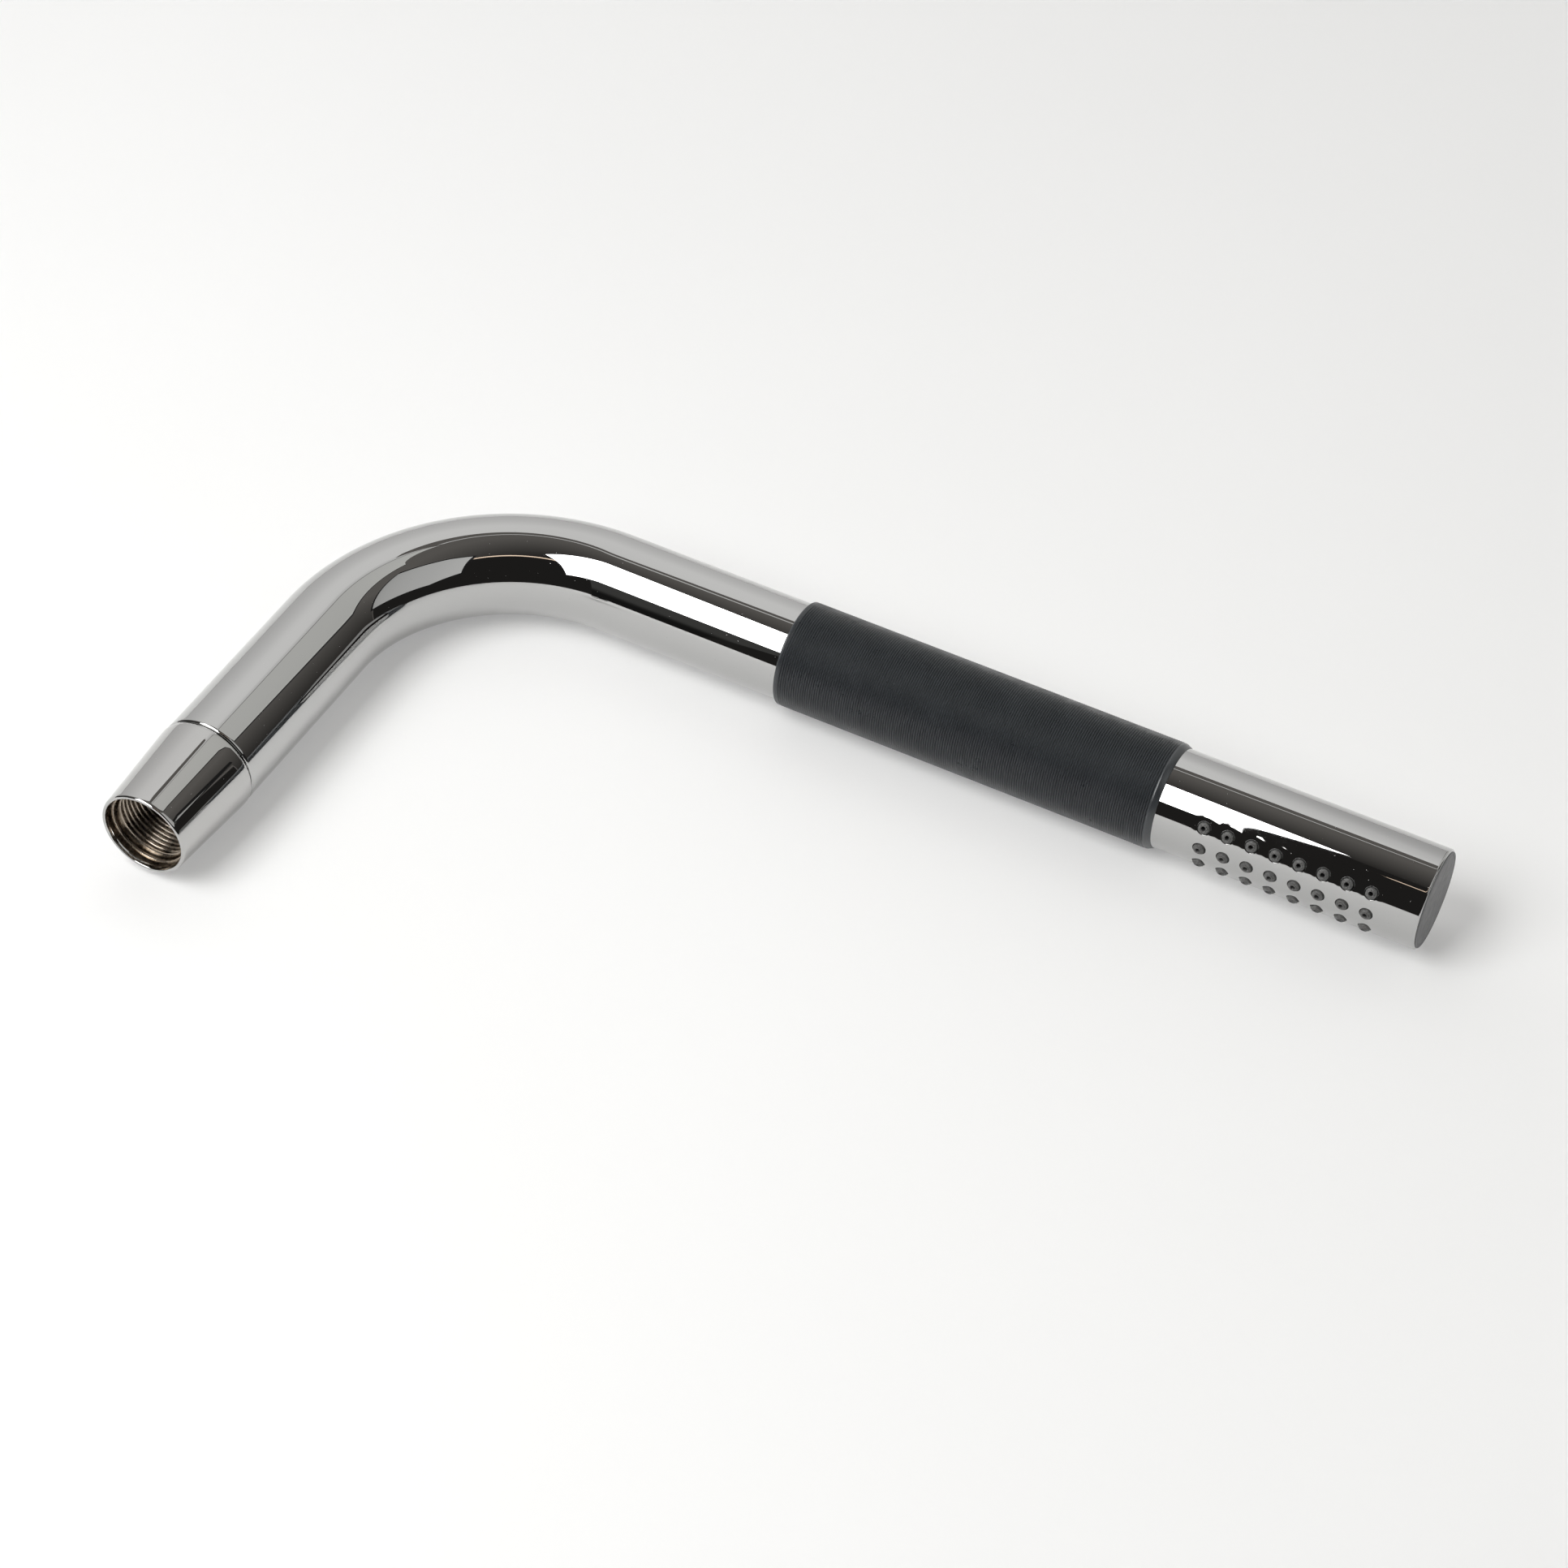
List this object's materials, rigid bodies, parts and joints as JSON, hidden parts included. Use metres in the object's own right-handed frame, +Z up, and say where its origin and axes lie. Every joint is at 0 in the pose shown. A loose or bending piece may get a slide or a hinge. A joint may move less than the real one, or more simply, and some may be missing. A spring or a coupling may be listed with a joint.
{
  "type": "hand shower",
  "caption": "Handheld bath sprayer: bent chromed tube with a ribbed rubber grip, a threaded swivel collar for the hose and rows of soft nozzles facing into the bend.",
  "frame": {"origin": "middle of the object's box, on the floor that it lies on", "axes": "+X along the long leg towards the spray end, -Y along the short leg towards the hose collar, +Z up from the floor"},
  "size_m": [0.315, 0.1622, 0.0299],
  "materials": {
    "chrome": "mirror-bright chromed brass",
    "grip_rubber": "matt, finely ribbed",
    "nozzle_silicone": "matt silicone",
    "end_cap_grey": "satin",
    "brass": "turned",
    "stainless_steel": "bright",
    "black_rubber": "matt",
    "white_plastic": "moulded",
    "grey_plastic": "moulded"
  },
  "bodies": {
    "handset": {"outer_tube": "chrome", "grip_sleeve": "grip_rubber", "inlet_spigot": "brass", "collar_slide_washer": "white_plastic", "collar_circlip": "stainless_steel", "hose_washer": "black_rubber", "inlet_filter": "stainless_steel", "check_valve_body": "white_plastic", "check_valve_o_ring": "black_rubber", "check_valve_guide": "white_plastic", "check_valve_spring": "stainless_steel", "flow_limiter": "white_plastic", "flow_limiter_ring": "black_rubber", "nozzle_mat": "nozzle_silicone", "nozzle_carrier": "grey_plastic", "clamp_bar": "grey_plastic", "end_plug": "grey_plastic", "end_plug_o_ring_inner": "black_rubber", "end_plug_o_ring_outer": "black_rubber", "end_plug_circlip": "stainless_steel", "end_cap": "end_cap_grey"},
    "collar": {"inlet_collar": "chrome"},
    "valve_poppet": {"check_valve_poppet": "white_plastic", "check_valve_seal": "black_rubber"}
  },
  "joints": [
    {"name": "collar_swivel", "type": "hinge", "parent": "handset", "child": "collar", "pos_m": [-0.1433, -0.06, 0.01495], "axis": [0, -1, 0], "continuous": true},
    {"name": "valve_open", "type": "slide", "parent": "handset", "child": "valve_poppet", "axis": [0, 1, 0], "range_m": [0, 0.002], "stiffness_N_per_m": 80, "springref_m": -0.003, "deforming": ["check_valve_spring"]}
  ]
}
